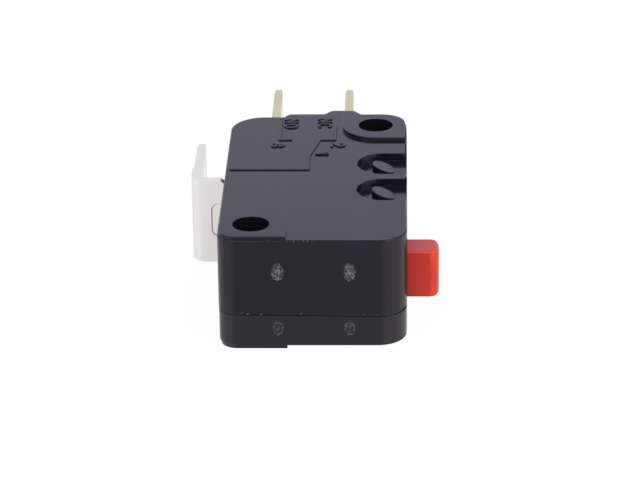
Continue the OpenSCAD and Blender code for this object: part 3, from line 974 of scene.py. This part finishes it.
@dataclass
class CircuitDiagram:
    """Raised diagram of the changeover contact on the case's upper face, with its numbers and letters."""

    finish: MouldedPlastic = replace(CASE_BLACK, name="diagram_black", wall_dulling=0.7)
    line: RaisedLine = RaisedLine()
    lettering: RaisedLine = RaisedLine(width=0.19 * MM, height=0.11 * MM)
    bold: RaisedLine = RaisedLine(width=0.26 * MM, height=0.15 * MM)
    border: float = 0.45 * MM
    common_y: float = 12.42 * MM
    lever_bend_y: float = 15.4 * MM
    contact_y: float = 19.32 * MM
    lever_xs: tuple[float, float, float] = (4.45 * MM, 4.42 * MM, 5.30 * MM)
    closed_lead_x: float = 6.66 * MM
    closed_lead_length: float = 3.1 * MM
    open_contact_x: float = 2.72 * MM
    open_lead_x: float = 1.70 * MM
    open_lead_length: float = 5.1 * MM
    letter_height: float = 1.12 * MM
    letter_share: float = 0.68
    letter_gap: float = 0.42 * MM
    number_feet: dict[Glyph, Point2] = field(
        default_factory=lambda: {
            Glyph.ONE: (5.08 * MM, 16.35 * MM),
            Glyph.TWO: (6.42 * MM, 18.42 * MM),
            Glyph.THREE: (1.02 * MM, 18.40 * MM),
        }
    )
    open_label_foot: Point2 = (2.08 * MM, 24.15 * MM)
    closed_label_foot: Point2 = (5.12 * MM, 24.25 * MM)

    def build(self) -> None:
        """Makes the diagram's lines and its signs as two pieces on the case."""
        low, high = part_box("case")
        face_z = high[2] - PAD_RISE
        lines = [self.line.arrays(path, face_z) for path in self._paths(low[0] + self.border)]
        signs = [self._sign(glyph, foot, face_z) for glyph, foot in self.number_feet.items()]
        signs += self._word((Glyph.LETTER_N, Glyph.LETTER_O), self.open_label_foot, face_z)
        signs += self._word((Glyph.LETTER_N, Glyph.LETTER_C), self.closed_label_foot, face_z)
        material = self.finish.material()
        for name, parts in (("circuit_lines", lines), ("circuit_signs", signs)):
            thing = new_object(name, *joined(parts))
            close_up(thing)
            thing.data.materials.append(material)
            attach(thing, Body.BASE.value)
            log.info("added %s", name)

    def _paths(self, left_x: float) -> list[np.ndarray]:
        """Lays out the diagram's two lines.

        Args:
            left_x: Where the common line starts.

        Returns:
            The points of the line from the common side to the closed lead, and those of the open contact.
        """
        common_to_closed = (
            (left_x, self.common_y),
            (self.lever_xs[0], self.common_y),
            (self.lever_xs[1], self.lever_bend_y),
            (self.lever_xs[2], self.contact_y),
            (self.closed_lead_x, self.contact_y),
            (self.closed_lead_x, self.contact_y + self.closed_lead_length),
        )
        open_contact = (
            (self.open_contact_x, self.contact_y),
            (self.open_lead_x, self.contact_y),
            (self.open_lead_x, self.contact_y + self.open_lead_length),
        )
        return [np.array(common_to_closed), np.array(open_contact)]

    def _sign(self, glyph: Glyph, foot: Point2, face_z: float) -> Arrays:
        """Makes one sign: its strokes turned so that u runs along -Y and v along +X from its foot.

        Args:
            glyph: The sign.
            foot: Its lower left corner in X and Y.
            face_z: Height of the face that carries it.

        Returns:
            The vertices and the quads.
        """
        ridge = self.bold if glyph is Glyph.ONE else self.lettering
        ridges = []
        for stroke in glyph.strokes():
            u, v = stroke.T * self.letter_height
            ridges.append(ridge.arrays(np.stack((foot[0] + v, foot[1] - u), axis=-1), face_z))
        return joined(ridges)

    def _word(self, glyphs: tuple[Glyph, ...], foot: Point2, face_z: float) -> list[Arrays]:
        """Makes a row of signs from a foot point towards -Y.

        A letter is as wide as its share of the height says, and the gap follows it.

        Args:
            glyphs: The signs in the order of reading.
            foot: The first one's lower left corner in X and Y.
            face_z: Height of the face that carries them.

        Returns:
            The vertices and the quads of each sign.
        """
        x, y = foot
        pace = self.letter_share * self.letter_height + self.letter_gap
        return [self._sign(glyph, (x, y - pace * place), face_z) for place, glyph in enumerate(glyphs)]


@dataclass
class PinPlunger:
    """The red plunger, with a painted highlight on its rounded edges."""

    edge: float = 0.10 * MM
    finish: MouldedPlastic = MouldedPlastic(
        "plunger_red",
        colour=(0.585, 0.027, 0.0125),
        patch_colour=(0.625, 0.032, 0.0155),
        specular=0.32,
        roughness=0.36,
        # Painted highlight: rounded edges between Y and Z, and less so those between X and Y, turn a
        # brighter orange-red that stands in for light caught at the rims.
        corner_highlight_colour=(0.90, 0.075, 0.03),
        corner_shares=((Axis.Y, Axis.Z, 1.0), (Axis.X, Axis.Y, 0.36)),
    )

    def build(self, frame: Frame) -> None:
        """Dresses the plunger from the loaded frame."""
        DressedSolid("plunger", Body.PLUNGER, Slot.PLUNGER, self.finish, self.edge).build(frame)


@dataclass
class Terminals:
    """The silvered common terminal and the two brass contact terminals."""

    silver: RolledMetal = RolledMetal(
        "silvered_sheet",
        colour=(0.78, 0.745, 0.74),
        edge_colour=(0.735, 0.74, 0.53),
        roughness=0.16,
        bend_colour=(0.86, 0.86, 0.80),
    )
    silver_edge: float = 0.03 * MM
    brass: RolledMetal = RolledMetal(
        "brass_sheet",
        colour=(0.77, 0.71, 0.455),
        edge_colour=(0.545, 0.51, 0.25),
        roughness=0.12,
    )
    brass_edge: float = 0.07 * MM

    def build(self, frame: Frame) -> None:
        """Dresses the three terminals.

        Args:
            frame: The loaded frame.
        """
        DressedSolid("com_terminal", Body.BASE, Slot.SILVERED, self.silver, self.silver_edge).build(frame)
        for node in ("nc_terminal", "no_terminal"):
            DressedSolid(node, Body.BASE, Slot.BRASS, self.brass, self.brass_edge).build(frame)


@dataclass
class SnapMechanism:
    """The blade inside the case and the contacts that it works."""

    bronze: RolledMetal = RolledMetal(
        "blade_sheet",
        colour=(0.62, 0.38, 0.18),
        edge_colour=(0.52, 0.31, 0.15),
        roughness=0.22,
    )
    blade_edge: float = 0.02 * MM
    contact: RolledMetal = RolledMetal(
        "contact_alloy",
        colour=(0.82, 0.82, 0.80),
        edge_colour=(0.80, 0.80, 0.78),
        roughness=0.26,
    )
    contact_edge: float = 0.03 * MM

    def build(self, frame: Frame) -> None:
        """Dresses the blade and the three contacts.

        Args:
            frame: The loaded frame.
        """
        DressedSolid("snap_blade", Body.BLADE, Slot.BRONZE, self.bronze, self.blade_edge).build(frame)
        bodies = {"moving_contact": Body.BLADE, "nc_contact": Body.BASE, "no_contact": Body.BASE}
        for node, body in bodies.items():
            DressedSolid(node, body, Slot.CONTACT, self.contact, self.contact_edge).build(frame)


def posed(place: Sequence[float], right: np.ndarray, up: np.ndarray, back: np.ndarray) -> Matrix:
    """Works out the matrix of a lamp or camera.

    Args:
        place: Where it stands.
        right: Direction of its own X axis.
        up: Direction of its own Y axis.
        back: Direction of its own Z axis, away from what it looks at.

    Returns:
        The matrix.
    """
    matrix = np.eye(4)
    matrix[:3] = np.column_stack((right, up, back, place))
    return Matrix(matrix.tolist())


@dataclass(frozen=True)
class Lamp:
    """A soft square lamp."""

    name: str
    place: Place
    power: float
    size: float = 0.30

    def build(self, target: np.ndarray) -> None:
        """Sets up the lamp, with its own upright as near to +Z as its direction lets it.

        Args:
            target: The point that it looks at.
        """
        data = bpy.data.lights.new(self.name, "AREA")
        data.size = self.size
        data.energy = self.power
        lamp = bpy.data.objects.new(self.name, data)
        bpy.context.scene.collection.objects.link(lamp)
        toward = target - np.array(self.place)
        toward /= np.linalg.norm(toward)
        right = np.cross(toward, (0.0, 0.0, 1.0))
        right /= np.linalg.norm(right)
        lamp.matrix_world = posed(self.place, right, np.cross(right, toward), -toward)
        log.info("set up %s", self.name)


@dataclass
class Studio:
    """A plain white studio: a pale floor, an even sky, two soft lamps and the camera, angles in degrees."""

    floor_size: float = 3.0
    floor_colour: Colour = (0.86, 0.86, 0.87)
    floor_brightness: float = 1.02
    floor_glow: float = 0.94
    floor_mirrored: float = 0.75
    sky_light: float = 0.62
    sky_colour: Colour = (1.0, 1.0, 1.0)
    sky_mirrored: Colour = (0.98, 0.99, 1.24)
    lamps: tuple[Lamp, ...] = (
        Lamp("key_lamp", (-0.16, -0.28, 0.38), 0.55),
        Lamp("side_lamp", (0.38, -0.24, 0.36), 0.90),
    )
    camera_target: Place = (5.45 * MM, 11.1 * MM, 3.861 * MM)
    camera_distance: float = 256.83 * MM
    camera_yaw: float = 1.707
    camera_elevation: float = 24.082
    camera_roll: float = -0.722
    camera_nearest: float = 10.0 * MM
    sensor_width: float = 36.0
    focal_pixels: float = 2917.0
    image_width: float = 640.0

    def build(self) -> None:
        """Sets up everything round the object."""
        bpy.context.scene.view_settings.view_transform = "Standard"
        self._sky()
        self._floor()
        for lamp in self.lamps:
            lamp.build(np.array(self.camera_target))
        self._camera()
        log.info("studio is set")

    def _sky(self) -> None:
        """White sky to look at, which lights the object more softly and has a cooler mirror image."""
        world = bpy.data.worlds.new("studio_sky")
        world.use_nodes = True
        bpy.context.scene.world = world
        graph = Graph(world.node_tree)
        mirrored = graph.ray(Ray.MIRRORED)
        seen = (graph.ray(Ray.CAMERA) + mirrored + graph.ray(Ray.CLEAR)).at_most_one()
        strength = self.sky_light + (1.0 - self.sky_light) * seen
        colour = graph.blend(mirrored, self.sky_colour, self.sky_mirrored)
        sky = graph.add("ShaderNodeBackground", inputs={"Color": colour, "Strength": strength})
        graph.node("ShaderNodeOutputWorld", inputs={"Surface": sky})

    def _floor(self) -> None:
        """Pale floor that glows where it is seen, and less in mirrors, and keeps a soft shadow."""
        half = 0.5 * self.floor_size
        corners = np.array(((-half, -half, 0.0), (half, -half, 0.0), (half, half, 0.0), (-half, half, 0.0)))
        floor = new_object("studio_floor", corners, np.array(((0, 1, 2, 3),)))
        material, graph = new_graph("studio_white")
        matt = graph.add("ShaderNodeBsdfDiffuse", inputs={"Color": rgba(self.floor_colour)})
        glow = graph.add("ShaderNodeEmission", inputs={"Strength": self.floor_brightness})
        seen = graph.ray(Ray.CAMERA) + graph.ray(Ray.CLEAR)
        share = self.floor_glow * seen + self.floor_mirrored * graph.ray(Ray.MIRRORED)
        surface = graph.add("ShaderNodeMixShader", inputs={0: share, 1: matt, 2: glow})
        graph.node("ShaderNodeOutputMaterial", inputs={"Surface": surface})
        floor.data.materials.append(material)

    def _camera(self) -> None:
        """Camera at the photograph's angle, which its yaw, its elevation and its roll give."""
        yaw, rise, roll = np.radians((self.camera_yaw, self.camera_elevation, self.camera_roll))
        back = np.array((np.sin(yaw) * np.cos(rise), -np.cos(yaw) * np.cos(rise), np.sin(rise)))
        level = np.array((np.cos(yaw), np.sin(yaw), 0.0))
        upward = np.cross(back, level)
        right = np.cos(roll) * level + np.sin(roll) * upward
        up = np.cos(roll) * upward - np.sin(roll) * level
        data = bpy.data.cameras.new("photo_camera")
        data.sensor_width = self.sensor_width
        data.lens = self.focal_pixels * self.sensor_width / self.image_width
        data.clip_start = self.camera_nearest
        camera = bpy.data.objects.new("photo_camera", data)
        bpy.context.scene.collection.objects.link(camera)
        place = np.array(self.camera_target) + self.camera_distance * back
        camera.matrix_world = posed(place, right, up, back)
        bpy.context.scene.camera = camera


def main() -> None:
    """Builds the switch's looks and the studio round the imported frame."""
    logging.basicConfig(level=logging.INFO, format="%(name)s: %(message)s")
    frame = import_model()
    Studio().build()
    Housing().build(frame)
    CircuitDiagram().build()
    PinPlunger().build(frame)
    Terminals().build(frame)
    SnapMechanism().build(frame)


if __name__ == "__main__":
    main()
